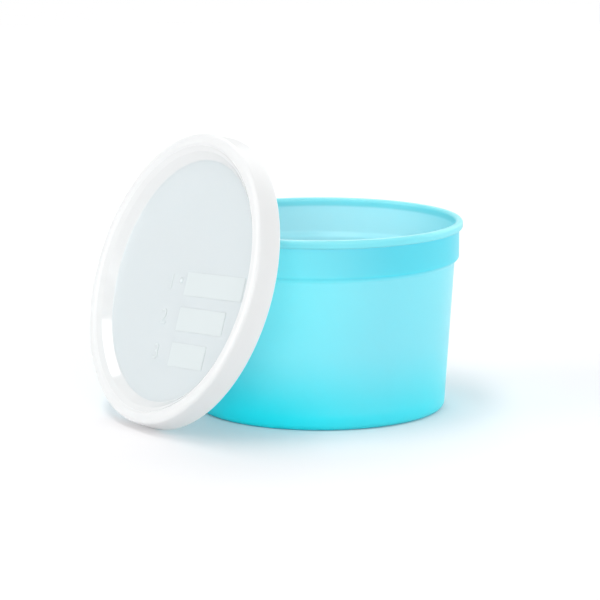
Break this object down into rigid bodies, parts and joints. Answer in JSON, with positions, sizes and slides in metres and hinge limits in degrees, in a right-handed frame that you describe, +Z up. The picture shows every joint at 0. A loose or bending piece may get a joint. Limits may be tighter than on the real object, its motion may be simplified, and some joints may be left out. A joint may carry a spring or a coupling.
{
  "type": "denture case",
  "caption": "Round tapered cup with a rolled rim and stepped collar, and a press-on lid with a sunk panel that leans on the rim.",
  "frame": {"origin": "centre of the cup's foot, on the surface that it stands on", "axes": "+Z up along the cup's axis; -X from the cup towards the lid that leans on its rim; the XZ plane halves the cup and the lid's lean"},
  "size_m": [0.1128, 0.0914, 0.0881],
  "materials": {
    "cup": "satin, injection-moulded, translucent",
    "lid": "semi-matte, injection-moulded, translucent white"
  },
  "bodies": {
    "cup": {"cup": "cup"},
    "lid": {"lid": "lid"}
  },
  "joints": [
    {"name": "lid_tip", "type": "hinge", "parent": "cup", "child": "lid", "pos_m": [-0.06974, 0, 0], "axis": [0, -1, 0], "range_deg": [0, 108.7]}
  ]
}
